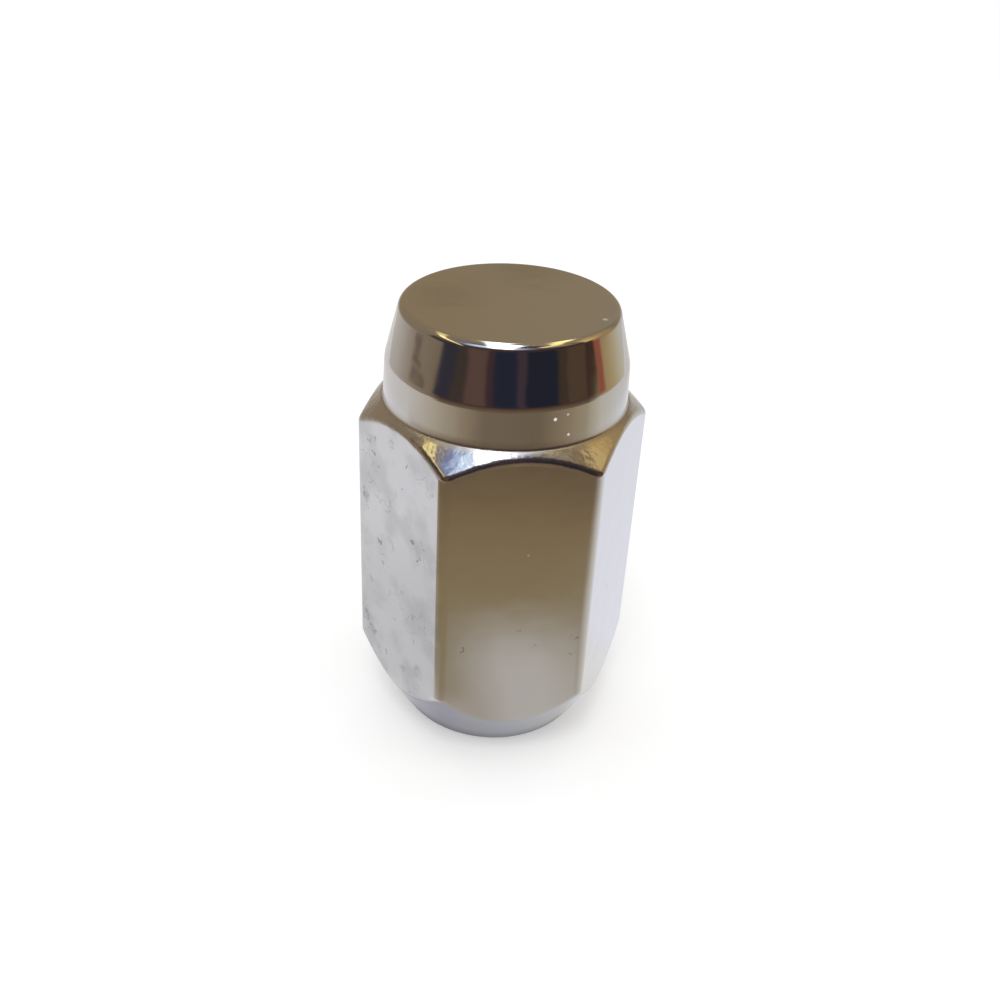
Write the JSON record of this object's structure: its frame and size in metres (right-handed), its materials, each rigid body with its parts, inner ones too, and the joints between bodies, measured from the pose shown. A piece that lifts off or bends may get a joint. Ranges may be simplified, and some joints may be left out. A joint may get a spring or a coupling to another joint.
{
  "type": "lug nut",
  "caption": "Closed-end wheel lug nut: hexagonal body with a round tapered neck, a flat closed top, a conical seat and a blind threaded hole, chrome plated.",
  "frame": {"origin": "centre of the open seat end, on the plane the nut stands on", "axes": "+Z along the thread axis from the open seat end to the flat closed end, one wrench flat faces -Y, and two hexagon corners lie on the X axis"},
  "size_m": [0.0216, 0.019, 0.035],
  "materials": {
    "chrome_plate": "bright decorative nickel-chrome plate over cold-formed steel, with fine scratches and small pits"
  },
  "bodies": {
    "root": {"lug_nut": "chrome_plate"}
  },
  "joints": []
}
